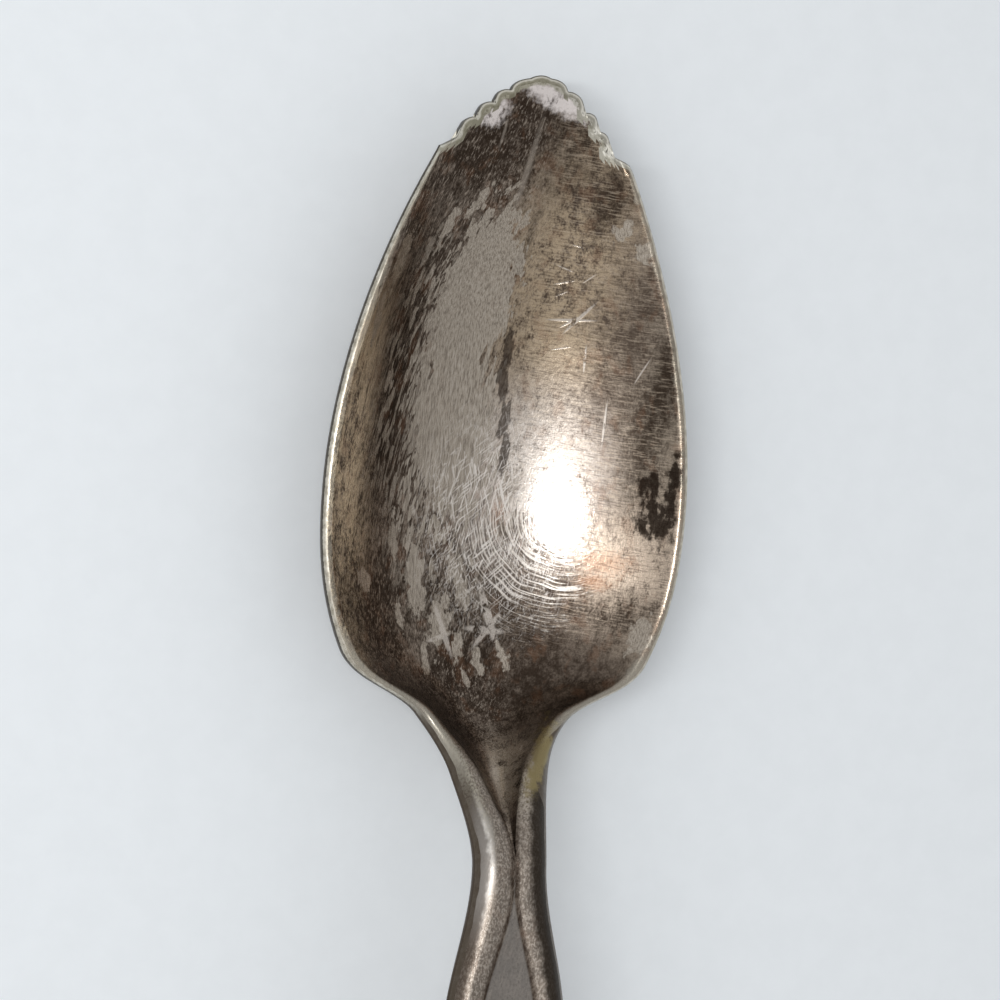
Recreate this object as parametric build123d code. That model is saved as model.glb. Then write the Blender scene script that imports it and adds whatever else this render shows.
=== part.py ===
from build123d import *

import math
import os

# Grapefruit spoon: a die-struck nickel-silver blank that carries a silver deposit on its face and its back.
# Millimetres. +Y points from the handle to the tip, +Z up, and the spoon rests on Z = 0, bowl facing up.
# A station is a distance from the tip along the spoon's length.

# Lengths along the spoon, each one measured on from the one before
tip_length = 6.5
bowl_swell_length = 28.15
bowl_heel_length = 14.6
throat_length = 3.3
channel_length = 11.7
crossing_length = 2.0
shank_length = 10.4
handle_front_length = 31.0
handle_rear_length = 33.35
handle_end_length = 11.0

# Widths
shoulder_width = 16.44
bowl_width = 31.5
heel_width = 25.0
throat_width = 13.3
channel_width = 8.2
neck_width = 6.0
handle_start_width = 10.0
handle_middle_width = 11.4
handle_broad_width = 14.8

# Fullness of the bowl's outline ahead of its widest place and behind it, and the corner at its heel
swell_power = 1.85
heel_power = 2.5
heel_corner_length = 1.4

# Teeth along the tip, worn on the left and nearly gone in the middle
left_tip_power = 1.65
right_tip_power = 1.95
right_tip_reach = 7.5
teeth_per_side = 3
left_tooth_pitch = 1.45
right_tooth_pitch = 1.4
left_tooth_depth = 0.52
right_tooth_depth = 0.75
left_lobe_reach = 2.85
right_lobe_reach = 2.55
left_lobe_notch = 0.45
right_lobe_notch = 0.45
middle_teeth = 3
middle_tooth_depth = 0.12

# Heights of the crest of the rim and of the handle's border above the table
tip_height = 10.35
rim_height = 9.1
heel_height = 8.8
channel_height = 12.45
neck_height = 16.65
arch_height = 17.85
arch_run = 3.0
handle_middle_height = 13.2
handle_fall_height = 5.7
handle_fall_run = 22.0
handle_rest_run = 5.0
handle_tip_rise = 0.9

# Relief of the face: the bowl's rolled rim, the border strands and the sunk panel of the handle
bowl_fullness = 0.4
back_fullness = 0.38
tip_hollow = 0.15
rim_width = 0.7
rim_crease = 0.1
rim_round = 0.22
throat_border_width = 1.4
channel_border_width = 2.4
border_width = 2.6
channel_crease = 0.6
crossing_crease = 0.22
border_crease = 0.5
border_round = 1.1
handle_end_round = 0.5
strand_crest_share = 0.45
panel_hollow = 0.12
panel_taper = 10.0
panel_end_gap = 9.0
closed_groove = 0.15

# Thickness at the edge and along the centre line
tip_edge_thickness = 0.9
rim_thickness = 1.1
heel_edge_thickness = 1.3
neck_edge_thickness = 2.0
handle_edge_thickness = 1.7
handle_end_edge_thickness = 1.35
bowl_floor_thickness = 1.3
channel_wall = 2.3
neck_wall = 3.1
handle_wall = 1.9
handle_end_wall = 1.6

# Wear where the spoon rests on the table
rest_wear = 0.08
bowl_wear_width = 6.0
bowl_wear_length = 12.0
handle_wear_width = 9.0
handle_wear_length = 10.0

# Silver deposit, drawn thicker than the real few hundredths, and where it has worn away
plate_thickness = 0.1
bare_rim = 0.55
bare_tip = 1.3
patch_width = 1.5
patch_length = 6.4

# Shares of the lengths, rises and depths above that place the knots of the curves
channel_share = 0.4
swell_quarter_share = 0.27
swell_half_share = 0.55
quarter_rise_share = 0.28
throat_rise_share = 0.12
shoulder_hollow_share = 0.24
quarter_hollow_share = 0.57
half_hollow_share = 0.85
heel_hollow_share = 0.72
throat_hollow_share = 0.56
channel_hollow_share = 0.33
plated_tip_share = 0.65

# Spacing of the cross-sections, closer where the outline turns, and how far they run past the outline
bowl_spacing = 3.0
heel_spacing = 0.9
neck_spacing = 1.6
handle_spacing = 4.0
outline_spacing = 4.0
section_margin = 0.25
slope_step = 0.01
column_height = 60.0

# Stations
shoulder = tip_length
widest = shoulder + bowl_swell_length
heel = widest + bowl_heel_length
throat = heel + throat_length
neck = throat + channel_length
channel = throat + channel_share * channel_length
crossing_end = neck + crossing_length
handle_start = crossing_end + shank_length
arch = handle_start + arch_run
handle_middle = handle_start + handle_front_length
handle_fall = handle_middle + handle_fall_run
handle_broad = handle_middle + handle_rear_length
handle_rest = handle_broad + handle_rest_run
overall_length = handle_broad + handle_end_length
panel_end = overall_length - panel_end_gap
swell_quarter = shoulder + swell_quarter_share * bowl_swell_length
swell_half = shoulder + swell_half_share * bowl_swell_length

# The bowl's bottom and the handle's end both reach the table, less the wear
bowl_depth = rim_height - rim_crease - bowl_floor_thickness + rest_wear
handle_rest_height = handle_end_wall - rest_wear


class Profile:
    """A smooth curve through (station, value) knots that never overshoots them."""

    def __init__(self, *knots):
        self.stations = [station for station, value in knots]
        self.values = [value for station, value in knots]
        gaps = [after - before for before, after in zip(self.stations, self.stations[1:])]
        rises = [after - before for before, after in zip(self.values, self.values[1:])]
        slopes = [rise / gap for rise, gap in zip(rises, gaps)]
        self.slopes = [slopes[0]]
        for index in range(1, len(knots) - 1):
            before = slopes[index - 1]
            after = slopes[index]
            level = before * after <= 0
            near = 2 * gaps[index] + gaps[index - 1]
            far = gaps[index] + 2 * gaps[index - 1]
            self.slopes.append(0.0 if level else (near + far) / (near / before + far / after))
        self.slopes.append(slopes[-1])

    def __call__(self, station):
        if station <= self.stations[0]:
            return self.values[0] + self.slopes[0] * (station - self.stations[0])
        if station >= self.stations[-1]:
            return self.values[-1] + self.slopes[-1] * (station - self.stations[-1])
        index = max(i for i, knot in enumerate(self.stations[:-1]) if knot <= station)
        gap = self.stations[index + 1] - self.stations[index]
        t = (station - self.stations[index]) / gap
        rest = 1 - t
        start = (1 + 2 * t) * self.values[index] + t * gap * self.slopes[index]
        end = (3 - 2 * t) * self.values[index + 1] - rest * gap * self.slopes[index + 1]
        return rest ** 2 * start + t ** 2 * end


stem_half_width = Profile(
    (heel, heel_width / 2),
    (throat, throat_width / 2),
    (channel, channel_width / 2),
    (neck, neck_width / 2),
    (handle_start, handle_start_width / 2),
    (handle_middle, handle_middle_width / 2),
    (handle_broad, handle_broad_width / 2),
    (overall_length, handle_broad_width / 2),
)
crest_height = Profile(
    (0.0, tip_height),
    (swell_quarter, rim_height + quarter_rise_share * (tip_height - rim_height)),
    (widest, rim_height),
    (heel, heel_height),
    (throat, heel_height + throat_rise_share * (channel_height - heel_height)),
    (channel, channel_height),
    (neck, neck_height),
    (arch, arch_height),
    (handle_middle, handle_middle_height),
    (handle_fall, handle_fall_height),
    (handle_rest, handle_rest_height),
    (overall_length, handle_rest_height + handle_tip_rise),
)
hollow_depth = Profile(
    (0.0, tip_hollow),
    (shoulder, shoulder_hollow_share * bowl_depth),
    (swell_quarter, quarter_hollow_share * bowl_depth),
    (swell_half, half_hollow_share * bowl_depth),
    (widest, bowl_depth),
    (heel, heel_hollow_share * bowl_depth),
    (throat, throat_hollow_share * bowl_depth),
    (channel, channel_hollow_share * bowl_depth),
    (neck, 0.0),
    (crossing_end, 0.0),
    (handle_start, panel_hollow),
    (panel_end - panel_taper, panel_hollow),
    (panel_end, 0.0),
    (overall_length, 0.0),
)
strand_width = Profile(
    (0.0, rim_width),
    ((widest + heel) / 2, rim_width),
    (throat, throat_border_width),
    (channel, channel_border_width),
    (neck, neck_width / 2),
    (crossing_end, neck_width / 2),
    (handle_start, border_width),
    (panel_end - panel_taper, border_width),
    (panel_end, handle_broad_width / 2),
    (overall_length, handle_broad_width / 2),
)
crease_depth = Profile(
    (0.0, rim_crease),
    (heel, rim_crease),
    (channel, channel_crease),
    (neck, crossing_crease),
    (crossing_end, crossing_crease),
    (handle_start, border_crease),
    (panel_end - panel_taper, border_crease),
    (panel_end, 0.0),
    (overall_length, 0.0),
)
edge_round = Profile(
    (0.0, rim_round),
    (heel, rim_round),
    (channel, border_round),
    (handle_start, border_round),
    (handle_rest, handle_end_round),
    (overall_length, handle_end_round),
)
edge_thickness = Profile(
    (0.0, tip_edge_thickness),
    (widest, rim_thickness),
    (heel, heel_edge_thickness),
    (neck, neck_edge_thickness),
    (handle_start, handle_edge_thickness),
    (handle_rest, handle_end_edge_thickness),
    (overall_length, handle_end_edge_thickness),
)
wall_thickness = Profile(
    (0.0, tip_edge_thickness),
    (widest, bowl_floor_thickness),
    (heel, (bowl_floor_thickness + channel_wall) / 2),
    (channel, channel_wall),
    (neck, neck_wall),
    (handle_start, handle_wall),
    (handle_rest, handle_end_wall),
    (overall_length, handle_end_wall),
)


def place(x, station):
    """Plan position of a point given by its distance from the centre line and its station."""
    return (x, overall_length / 2 - station)


def half_width(station):
    """Half of the spoon's width at a station."""
    if station < widest:
        share = (widest - station) / bowl_swell_length
        return (bowl_width - (bowl_width - shoulder_width) * share ** swell_power) / 2
    if station < heel:
        share = (station - widest) / bowl_heel_length
        return (bowl_width - (bowl_width - heel_width) * share ** heel_power) / 2
    return stem_half_width(station)


def mirrored(points):
    """The same points on the other side of the centre line, in the opposite order."""
    return [(-x, y, z) for x, y, z in reversed(points)]


def section(station):
    """Closed cross-section: the hollow, a strand on each side, the two edges and the swelling back."""
    y = overall_length / 2 - station
    edge = half_width(station)
    groove = max(edge - strand_width(station), closed_groove)
    crest = groove + strand_crest_share * (edge - groove)
    side = edge + section_margin
    crest_z = crest_height(station)
    crease_z = crest_z - crease_depth(station)
    side_z = crest_z - edge_round(station) * ((side - crest) / (edge - crest)) ** 2
    keel_z = crease_z - hollow_depth(station) - wall_thickness(station)
    under_z = keel_z + (crest_z - edge_thickness(station) - keel_z) * (side / edge) ** 2
    # The middle of a cubic curve lies three quarters of the way to its control points
    floor_z = crease_z - hollow_depth(station) * 4 / 3
    belly_z = under_z - (under_z - keel_z) * 4 / 3
    dip = bowl_fullness * groove
    swell = back_fullness * side
    inner = [(groove, y, crease_z), ((groove + crest) / 2, y, crest_z), (crest, y, crest_z)]
    outer = [(crest, y, crest_z), ((crest + side) / 2, y, crest_z), (side, y, side_z)]
    hollow = [(-groove, y, crease_z), (-dip, y, floor_z), (dip, y, floor_z), (groove, y, crease_z)]
    back = [(side, y, under_z), (swell, y, belly_z), (-swell, y, belly_z), (-side, y, under_z)]
    curves = [hollow, inner, outer, [outer[-1], back[0]], back]
    curves += [mirrored([outer[-1], back[0]]), mirrored(outer), mirrored(inner)]
    return Wire([Bezier(*curve) for curve in curves])


def section_stations():
    """Stations of the cross-sections from just ahead of the tip to just past the handle's end."""
    spans = [
        (widest, bowl_spacing),
        (heel - heel_corner_length, bowl_spacing),
        (throat, heel_spacing),
        (neck, neck_spacing),
        (handle_start, neck_spacing),
        (panel_end - panel_taper, handle_spacing),
        (overall_length + section_margin, handle_spacing / 2),
    ]
    stations = [-section_margin]
    for end, spacing in spans:
        start = stations[-1]
        count = math.ceil((end - start) / spacing)
        stations += [start + (end - start) * index / count for index in range(1, count + 1)]
    return stations


def side_point(station, inset):
    """Plan point of the right side at a station, moved square to the outline into the spoon."""
    lean = (half_width(station + slope_step) - half_width(station - slope_step)) / (2 * slope_step)
    reach = inset / math.hypot(1.0, lean)
    return place(half_width(station) - reach, station + lean * reach)


def side_curve(start, end, inset):
    """Smooth curve along the right side between two stations."""
    count = max(math.ceil((end - start) / outline_spacing), 2)
    stations = [start + (end - start) * index / count for index in range(count + 1)]
    return Spline(*[side_point(station, inset) for station in stations])


def tip_point(x, depth):
    """Plan point of the tip's crest line at x, moved into the bowl by a depth."""
    power = right_tip_power if x > 0 else left_tip_power
    half_tip = right_tip_reach if x > 0 else shoulder_width / 2
    station = tip_length * (abs(x) / half_tip) ** power
    lean = power * station / x if x else 0.0
    reach = depth / math.hypot(1.0, lean)
    return place(x - lean * reach, station + reach)


def right_side(inset):
    """Edges of the right side, from the shoulder round the heel corner to the broad end of the handle."""
    bowl_side = side_curve(shoulder, heel - heel_corner_length, inset)
    throat_side = side_curve(heel + heel_corner_length, neck, inset)
    shank_side = side_curve(neck, handle_broad, inset)
    corner = Bezier(bowl_side @ 1, side_point(heel, inset), throat_side @ 0)
    return [bowl_side, corner, throat_side, shank_side]


def region(inset, tip_edges):
    """Flat face of the whole plan, inset from the sides, closed by the tip edges and the round end."""
    right = right_side(inset)
    left = [edge.mirror(Plane.YZ) for edge in right]
    broad = right[-1] @ 1
    end_length = broad.Y + overall_length / 2 - inset
    end = EllipticalCenterArc((0.0, broad.Y), broad.X, end_length, 180, arc_size=180)
    return Face(Wire([*right, *left, *tip_edges, end]))


def toothed_tip():
    """Edges of the tip: rounded teeth on both sides of the worn middle lobe, then a step to each shoulder."""
    valleys = []
    left = (-1, left_lobe_reach, left_lobe_notch, left_tooth_pitch, left_tooth_depth)
    right = (1, right_lobe_reach, right_lobe_notch, right_tooth_pitch, right_tooth_depth)
    for side, lobe, notch, pitch, depth in (left, right):
        valleys.append((side * lobe, notch))
        for tooth in range(teeth_per_side):
            valleys.append((side * (lobe + (tooth + 1) * pitch), depth))
    lobe_width = left_lobe_reach + right_lobe_reach
    for tooth in range(1, middle_teeth):
        valleys.append((lobe_width * tooth / middle_teeth - left_lobe_reach, middle_tooth_depth))
    valleys.sort()
    edges = []
    for (start, start_depth), (end, end_depth) in zip(valleys, valleys[1:]):
        crest = tip_point((start + end) / 2, 0.0)
        edges.append(ThreePointArc(tip_point(start, start_depth), crest, tip_point(end, end_depth)))
    right_shoulder = side_point(shoulder, 0.0)
    left_shoulder = (-right_shoulder[0], right_shoulder[1])
    edges.append(Line(tip_point(*valleys[-1]), right_shoulder))
    edges.append(Line(left_shoulder, tip_point(*valleys[0])))
    return edges


def plated_tip():
    """Edge where the deposit ends behind the bare teeth."""
    right_shoulder = side_point(shoulder, bare_rim)
    left_shoulder = (-right_shoulder[0], right_shoulder[1])
    reach = plated_tip_share * shoulder_width / 2
    crest = [tip_point(reach * share, bare_tip) for share in (-1.0, -0.5, 0.0, 0.5, 1.0)]
    return [Spline(left_shoulder, *crest, right_shoulder)]


def column(face):
    """Upright solid over a flat face, taller than the spoon."""
    return Solid.extrude(face, Vector(0, 0, 2 * column_height)).moved(Location((0, 0, -column_height)))


def oval_column(x, station, width, length, turn=0.0):
    """Upright oval solid at a plan position, its length along the spoon unless it is turned."""
    oval = Face(Wire([Ellipse(width / 2, length / 2, rotation=turn).edge()]))
    return column(oval.moved(Location((*place(x, station), 0.0))))


def struck_spoon(bar):
    """The whole spoon with its plating, cut to its outline and worn flat where it rests on the table."""
    under_table = (Align.CENTER, Align.CENTER, Align.MAX)
    table = Box(2 * bowl_width, 2 * overall_length, column_height, align=under_table)
    return (bar & column(region(0.0, toothed_tip()))) - table


def over_the_face(bar, plated):
    """Everything above the blank's face where the deposit is left, which isn't on the worn border patch."""
    lean = (half_width(channel + patch_length / 2) - half_width(channel - patch_length / 2)) / patch_length
    patch_x = half_width(channel) - bare_rim
    patch = oval_column(patch_x, channel, patch_width, patch_length, math.degrees(math.atan(lean)))
    apart = plated - patch - bar.moved(Location((0, 0, -plate_thickness)))
    return apart.solids().sort_by(Axis.Z)[-1]


def under_the_back(bar, plated):
    """Everything below the blank's back where the deposit is left, which isn't where it touches a table."""
    bowl_window = oval_column(0.0, widest, bowl_wear_width, bowl_wear_length)
    handle_window = oval_column(0.0, handle_rest, handle_wear_width, handle_wear_length)
    apart = plated - bowl_window - handle_window - bar.moved(Location((0, 0, plate_thickness)))
    return apart.solids().sort_by(Axis.Z)[0]


def build():
    """All the pieces by name, from one bar that is wider and longer than the spoon's outline."""
    bar = Solid.make_loft([section(station) for station in section_stations()])
    plated = column(region(bare_rim, plated_tip()))
    above = over_the_face(bar, plated)
    below = under_the_back(bar, plated)
    return {
        "blank": struck_spoon(bar) - above - below,
        "front_plate": bar & above,
        "back_plate": bar & below,
    }


os.makedirs("parts", exist_ok=True)
for name, piece in build().items():
    piece.label = name
    export_step(piece, f"parts/{name}.step")
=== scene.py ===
"""Worn silver-plated grapefruit spoon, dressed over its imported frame.

Metres, in the frame's own axes: +Y from the handle to the toothed tip, +X to the right with the tip up, +Z up
out of the bowl. Sizes of the spoon are kept in millimetres, as on the bench, and turned to metres as meshes
are made. A station is a distance from the tip along the spoon's length.
"""

import logging
import math
from dataclasses import dataclass, field
from enum import Enum

import bpy
import numpy as np
from mathutils import Matrix, Vector


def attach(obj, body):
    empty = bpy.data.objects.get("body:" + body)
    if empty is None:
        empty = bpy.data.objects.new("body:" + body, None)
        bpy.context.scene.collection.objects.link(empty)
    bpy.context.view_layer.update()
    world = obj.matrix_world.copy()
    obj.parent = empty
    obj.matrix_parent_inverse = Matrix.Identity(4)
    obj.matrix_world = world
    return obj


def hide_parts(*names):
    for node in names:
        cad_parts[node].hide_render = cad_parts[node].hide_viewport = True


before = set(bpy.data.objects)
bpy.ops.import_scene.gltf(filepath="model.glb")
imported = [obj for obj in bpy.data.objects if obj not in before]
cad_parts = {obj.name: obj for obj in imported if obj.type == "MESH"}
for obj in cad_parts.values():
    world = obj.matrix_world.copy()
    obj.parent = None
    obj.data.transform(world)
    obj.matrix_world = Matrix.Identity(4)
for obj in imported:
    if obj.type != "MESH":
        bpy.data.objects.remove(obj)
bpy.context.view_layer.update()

MM = 0.001
# Station of the frame's origin, in the middle of the spoon's length
SPOON_MIDDLE = 76.0
# Stands for a distance too large to matter
FAR = 9.0
# Stretches a pattern so far upward that height doesn't change it
FLAT = 1e6
# Edges that turn by more than this, in degrees, are shaded sharp
SHARP_ANGLE = 38.0
log = logging.getLogger("spoon")


def linear(hex_colour: str) -> tuple[float, float, float, float]:
    """Turn an sRGB hex colour into linear values.

    Args:
        hex_colour: Six hex digits with a leading hash.

    Returns:
        Linear red, green, blue and an alpha of one.
    """
    channels = [int(hex_colour[i:i + 2], 16) / 255 for i in (1, 3, 5)]
    lin = [c / 12.92 if c <= 0.04045 else ((c + 0.055) / 1.055) ** 2.4 for c in channels]
    return (lin[0], lin[1], lin[2], 1.0)


def smooth_step(t: np.ndarray) -> np.ndarray:
    """Ease from 0 to 1 as t goes from 0 to 1, level at both ends."""
    t = np.clip(t, 0.0, 1.0)
    return t * t * (3 - 2 * t)


class Profile:
    """A smooth curve through (station, value) knots that never overshoots them."""

    def __init__(self, *knots: tuple[float, float]) -> None:
        """Work out the slopes at the knots.

        Args:
            knots: Pairs of station and value, in order.
        """
        self.stations, self.values = np.array(knots, float).T
        gaps = np.diff(self.stations)
        rises = np.diff(self.values) / gaps
        self.slopes = np.zeros(len(knots))
        self.slopes[0], self.slopes[-1] = rises[0], rises[-1]
        for index in range(1, len(knots) - 1):
            before, after = rises[index - 1], rises[index]
            if before * after > 0:
                near = 2 * gaps[index] + gaps[index - 1]
                far = gaps[index] + 2 * gaps[index - 1]
                self.slopes[index] = (near + far) / (near / before + far / after)

    def __call__(self, stations: np.ndarray) -> np.ndarray:
        """Read the curve.

        Args:
            stations: Where to read it.

        Returns:
            The values there, held level past both ends.
        """
        stations = np.clip(stations, self.stations[0], self.stations[-1])
        before = np.searchsorted(self.stations, stations, side="right") - 1
        index = np.clip(before, 0, len(self.stations) - 2)
        gap = self.stations[index + 1] - self.stations[index]
        t = (stations - self.stations[index]) / gap
        start = (1 + 2 * t) * self.values[index] + t * gap * self.slopes[index]
        end = (3 - 2 * t) * self.values[index + 1] - (1 - t) * gap * self.slopes[index + 1]
        return (1 - t) ** 2 * start + t ** 2 * end


class Hand(Enum):
    """The two sides of the spoon as it is seen with its tip up."""

    LEFT = -1
    RIGHT = 1


class Skin(Enum):
    """The two deposits, by the CAD node that each one replaces."""

    FACE = "front_plate"
    BACK = "back_plate"


class Rag(Enum):
    """The patterns that can break the edge of a zone of wear or of painted light."""

    SPECK = "speck"
    MOTTLE = "mottle"
    FINE = "fine"
    FLAKE = "flake"


@dataclass
class SpoonForm:
    """The spoon's outline, heights and thickness, in millimetres, with the shares that place its curves."""

    tip_length: float = 6.5
    bowl_swell_length: float = 28.15
    bowl_heel_length: float = 14.6
    throat_length: float = 3.3
    channel_length: float = 11.7
    crossing_length: float = 2.0
    shank_length: float = 10.4
    handle_front_length: float = 31.0
    handle_rear_length: float = 33.35
    handle_end_length: float = 11.0
    shoulder_width: float = 16.44
    bowl_width: float = 31.5
    heel_width: float = 25.0
    throat_width: float = 13.3
    channel_width: float = 8.2
    neck_width: float = 6.0
    handle_start_width: float = 10.0
    handle_middle_width: float = 11.4
    handle_broad_width: float = 14.8
    swell_power: float = 1.85
    heel_power: float = 2.5
    heel_corner_length: float = 1.4
    left_tip_power: float = 1.65
    right_tip_power: float = 1.95
    right_tip_reach: float = 7.5
    tip_height: float = 10.35
    rim_height: float = 9.1
    heel_height: float = 8.8
    channel_height: float = 12.45
    neck_height: float = 16.65
    arch_height: float = 17.85
    arch_run: float = 3.0
    handle_middle_height: float = 13.2
    handle_fall_height: float = 5.7
    handle_fall_run: float = 22.0
    handle_rest_run: float = 5.0
    handle_tip_rise: float = 0.9
    tip_hollow: float = 0.15
    rim_width: float = 0.7
    throat_border_width: float = 1.4
    channel_border_width: float = 2.4
    border_width: float = 2.6
    rim_crease: float = 0.1
    channel_crease: float = 0.6
    crossing_crease: float = 0.22
    border_crease: float = 0.5
    rim_round: float = 0.22
    border_round: float = 1.1
    handle_end_round: float = 0.5
    panel_hollow: float = 0.12
    panel_taper: float = 10.0
    panel_end_gap: float = 9.0
    closed_groove: float = 0.15
    tip_edge: float = 0.9
    rim_edge: float = 1.1
    heel_edge: float = 1.3
    neck_edge: float = 2.0
    handle_edge: float = 1.7
    handle_end_edge: float = 1.35
    floor_thickness: float = 1.3
    channel_wall: float = 2.3
    neck_wall: float = 3.1
    handle_wall: float = 1.9
    handle_end_wall: float = 1.6
    rest_wear: float = 0.08
    section_power: float = 2.11
    back_power: float = 2.07
    heel_blend_power: int = 3
    heel_ease: float = 2.0
    heel_ease_reach: float = 2.2
    heel_ease_steps: int = 9
    least_half_width: float = 0.05
    strand_crest_share: float = 0.45
    channel_share: float = 0.4
    quarter_share: float = 0.27
    half_share: float = 0.55
    quarter_rise_share: float = 0.28
    throat_rise_share: float = 0.12
    shoulder_hollow_share: float = 0.24
    quarter_hollow_share: float = 0.57
    half_hollow_share: float = 0.85
    heel_hollow_share: float = 0.72
    throat_hollow_share: float = 0.56
    channel_hollow_share: float = 0.33

    def __post_init__(self) -> None:
        """Set the stations and the curves that follow from the sizes."""
        bowl_lean = (self.bowl_width - self.heel_width) / 2 * self.heel_power / self.bowl_heel_length
        throat_lean = (self.heel_width - self.throat_width) / 2 / self.throat_length
        self.heel_corner_cut = (throat_lean - bowl_lean) * self.heel_corner_length / 4
        self.tip = 0.0
        self.shoulder = self.tip_length
        self.quarter = self.shoulder + self.quarter_share * self.bowl_swell_length
        self.half = self.shoulder + self.half_share * self.bowl_swell_length
        self.widest = self.shoulder + self.bowl_swell_length
        self.heel = self.widest + self.bowl_heel_length
        self.rim_end = (self.widest + self.heel) / 2
        self.throat = self.heel + self.throat_length
        self.channel = self.throat + self.channel_share * self.channel_length
        self.neck = self.throat + self.channel_length
        self.crossing_end = self.neck + self.crossing_length
        self.handle_start = self.crossing_end + self.shank_length
        self.arch = self.handle_start + self.arch_run
        self.handle_middle = self.handle_start + self.handle_front_length
        self.handle_fall = self.handle_middle + self.handle_fall_run
        self.broad = self.handle_middle + self.handle_rear_length
        self.rest = self.broad + self.handle_rest_run
        self.length = self.broad + self.handle_end_length
        self.panel_end = self.length - self.panel_end_gap
        self.panel_full = self.panel_end - self.panel_taper
        depth = self.rim_height - self.rim_crease - self.floor_thickness + self.rest_wear
        low = self.handle_end_wall - self.rest_wear
        half_neck = self.neck_width / 2
        half_broad = self.handle_broad_width / 2
        self.stem = self.through(
            heel=self.heel_width / 2, throat=self.throat_width / 2, channel=self.channel_width / 2,
            neck=half_neck, handle_start=self.handle_start_width / 2,
            handle_middle=self.handle_middle_width / 2, broad=half_broad, length=half_broad,
        )
        self.crest = self.through(
            tip=self.tip_height, widest=self.rim_height, heel=self.heel_height, channel=self.channel_height,
            quarter=self.rim_height + self.quarter_rise_share * (self.tip_height - self.rim_height),
            throat=self.heel_height + self.throat_rise_share * (self.channel_height - self.heel_height),
            neck=self.neck_height, arch=self.arch_height, handle_middle=self.handle_middle_height,
            handle_fall=self.handle_fall_height, rest=low, length=low + self.handle_tip_rise,
        )
        self.hollow = self.through(
            tip=self.tip_hollow, shoulder=self.shoulder_hollow_share * depth,
            quarter=self.quarter_hollow_share * depth, half=self.half_hollow_share * depth, widest=depth,
            heel=self.heel_hollow_share * depth, throat=self.throat_hollow_share * depth,
            channel=self.channel_hollow_share * depth, neck=0.0, crossing_end=0.0,
            handle_start=self.panel_hollow, panel_full=self.panel_hollow, panel_end=0.0, length=0.0,
        )
        self.strand = self.through(
            tip=self.rim_width, rim_end=self.rim_width, throat=self.throat_border_width,
            channel=self.channel_border_width, neck=half_neck, crossing_end=half_neck,
            handle_start=self.border_width, panel_full=self.border_width, panel_end=half_broad,
            length=half_broad,
        )
        self.crease = self.through(
            tip=self.rim_crease, heel=self.rim_crease, channel=self.channel_crease, neck=self.crossing_crease,
            crossing_end=self.crossing_crease, handle_start=self.border_crease, panel_full=self.border_crease,
            panel_end=0.0, length=0.0,
        )
        self.round = self.through(
            tip=self.rim_round, heel=self.rim_round, channel=self.border_round,
            handle_start=self.border_round, rest=self.handle_end_round, length=self.handle_end_round,
        )
        self.edge = self.through(
            tip=self.tip_edge, widest=self.rim_edge, heel=self.heel_edge, neck=self.neck_edge,
            handle_start=self.handle_edge, rest=self.handle_end_edge, length=self.handle_end_edge,
        )
        self.wall = self.through(
            tip=self.tip_edge, widest=self.floor_thickness,
            heel=(self.floor_thickness + self.channel_wall) / 2, channel=self.channel_wall,
            neck=self.neck_wall, handle_start=self.handle_wall, rest=self.handle_end_wall,
            length=self.handle_end_wall,
        )

    def through(self, **values: float) -> Profile:
        """Smooth curve along the spoon through values given by the names of their stations."""
        return Profile(*sorted((getattr(self, name), value) for name, value in values.items()))

    def eased_groove(self, station: np.ndarray) -> np.ndarray:
        """Half of the hollow's width, eased round the heel's corner, where the bowl's floor has none.

        Args:
            station: Stations of the hollow.

        Returns:
            Half widths in millimetres.
        """
        spread = np.linspace(-self.heel_ease_reach, self.heel_ease_reach, self.heel_ease_steps)
        steps = spread * self.heel_ease
        weights = np.exp(-(steps / self.heel_ease) ** 2 / 2)
        total = np.zeros_like(station)
        for step, weight in zip(steps, weights / weights.sum()):
            beside = station + step
            groove = np.maximum(self.half_width(beside) - self.strand(beside), self.closed_groove)
            total = total + weight * groove
        return total

    def half_width(self, station: np.ndarray) -> np.ndarray:
        """Half of the width at stations along the side, round to the handle's end.

        Args:
            station: Stations of the side.

        Returns:
            Half widths in millimetres.
        """
        ahead = np.clip((self.widest - station) / self.bowl_swell_length, 0.0, None)
        behind = np.clip((station - self.widest) / self.bowl_heel_length, 0.0, None)
        swell = self.bowl_width - (self.bowl_width - self.shoulder_width) * ahead ** self.swell_power
        taper = self.bowl_width - (self.bowl_width - self.heel_width) * behind ** self.heel_power
        bowl = np.where(station < self.widest, swell, taper) / 2
        past = np.clip((station - self.broad) / self.handle_end_length, 0.0, 1.0)
        outline = np.where(station < self.heel, bowl, self.stem(station) * np.sqrt(1 - past ** 2))
        corner = np.clip(1 - np.abs(station - self.heel) / self.heel_corner_length, 0.0, 1.0)
        return outline - self.heel_corner_cut * corner ** 2

    def tip_line(self, x: np.ndarray, depth: np.ndarray) -> tuple[np.ndarray, np.ndarray]:
        """Crest line of the tip, moved square to itself into the bowl.

        Args:
            x: Places along the line, signed.
            depth: How far to move each one.

        Returns:
            Places across the spoon and stations.
        """
        power = np.where(x > 0, self.right_tip_power, self.left_tip_power)
        half_tip = np.where(x > 0, self.right_tip_reach, self.shoulder_width / 2)
        share = np.minimum(np.abs(x) / half_tip, 1.0)
        lean = np.sign(x) * power * self.tip_length / half_tip * share ** (power - 1)
        reach = depth / np.hypot(1.0, lean)
        return x - lean * reach, self.tip_length * share ** power + reach

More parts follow.
